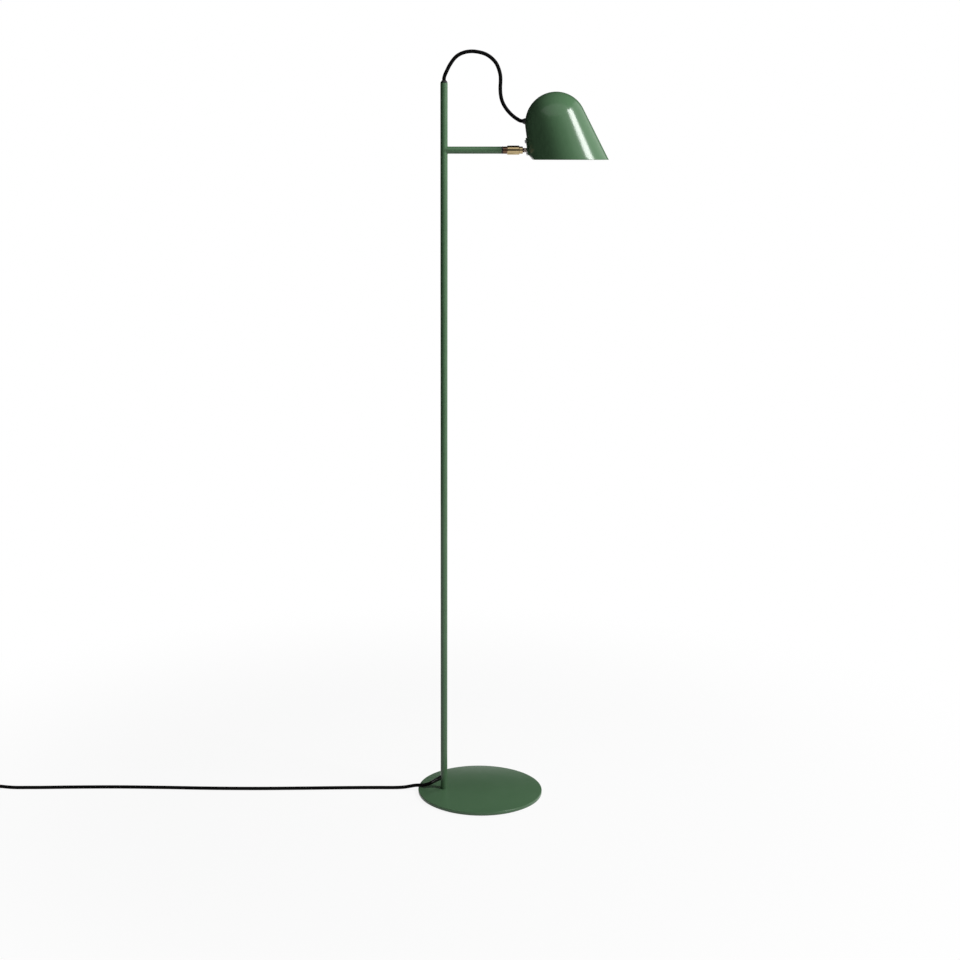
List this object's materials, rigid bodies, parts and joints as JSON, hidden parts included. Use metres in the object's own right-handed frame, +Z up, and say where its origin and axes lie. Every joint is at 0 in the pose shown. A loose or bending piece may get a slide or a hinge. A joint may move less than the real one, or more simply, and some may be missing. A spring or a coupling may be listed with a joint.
{
  "type": "adjustable arm floor lamp",
  "caption": "Floor lamp with a round foot, slim pole, side arm, swivel and tilt joint, dome shade, looped lead and a foot switch on the mains cord.",
  "frame": {"origin": "on the floor, on the pole's axis", "axes": "+X from the pole along the arm to the shade, +Z up, +Y away from the viewer"},
  "size_m": [1.3568, 0.24, 1.3996],
  "materials": {
    "green_paint": "semi-gloss green enamel on steel",
    "brass": "brushed brass",
    "steel": "plain zinc-plated steel",
    "black_plastic": "matt black",
    "black_textile": "black braided textile over flex",
    "black_felt": "black felt",
    "white_plastic": "off-white moulding",
    "opal_glass": "opal white"
  },
  "bodies": {
    "stand": {"base_felt_pad": "black_felt", "base_plate": "green_paint", "foot_screw": "steel", "pole_foot_insert": "steel", "pole_tube": "green_paint", "cord_strain_relief": "black_plastic", "pole_inner_lead": "black_textile", "pole_top_gland": "black_plastic", "arm_tube": "green_paint", "arm_end_plug": "steel", "joint_washer": "black_plastic", "wave_washer": "steel", "swivel_nut": "steel", "upper_cable": "black_textile", "mains_cord": "black_textile", "mains_cord_second": "black_textile", "mains_cord_coil": "black_textile", "mains_cord_tail": "black_textile", "cord_tie": "black_textile", "switch_lower_shell": "black_plastic", "switch_upper_shell": "black_plastic", "switch_contact_block": "white_plastic", "switch_spring": "steel", "plug_body": "black_plastic", "plug_boot": "black_plastic", "plug_pin_left": "brass", "plug_pin_right": "brass"},
    "foot_button": {"switch_button": "black_plastic"},
    "swivel": {"joint_barrel": "brass", "joint_fork": "brass", "tilt_screw": "steel", "tilt_nut": "steel"},
    "head": {"tilt_plate": "green_paint", "shade": "green_paint", "shade_grommet": "black_plastic", "shade_lead": "black_textile", "shade_screw_upper": "steel", "shade_screw_lower": "steel", "shade_nut_upper": "steel", "shade_nut_lower": "steel", "lampholder_cap": "black_plastic", "lampholder_skirt": "black_plastic", "lampholder_ring_upper": "black_plastic", "lampholder_ring_lower": "black_plastic", "lampholder_bracket": "steel", "bulb_cap": "steel", "bulb_glass": "opal_glass"}
  },
  "joints": [
    {"name": "head_swivel", "type": "hinge", "parent": "stand", "child": "swivel", "pos_m": [0.106, 0, 1.2241], "axis": [1, 0, 0], "range_deg": [-60, 60], "deforming": ["upper_cable"]},
    {"name": "head_tilt", "type": "hinge", "parent": "swivel", "child": "head", "pos_m": [0.1456, 0, 1.2241], "axis": [0, 1, 0], "range_deg": [-45, 20], "deforming": ["upper_cable"]},
    {"name": "foot_switch_press", "type": "slide", "parent": "stand", "child": "foot_button", "axis": [0, 0, -1], "range_m": [0, 0.003], "stiffness_N_per_m": 300, "springref_m": -0.003, "deforming": ["switch_spring"]}
  ]
}
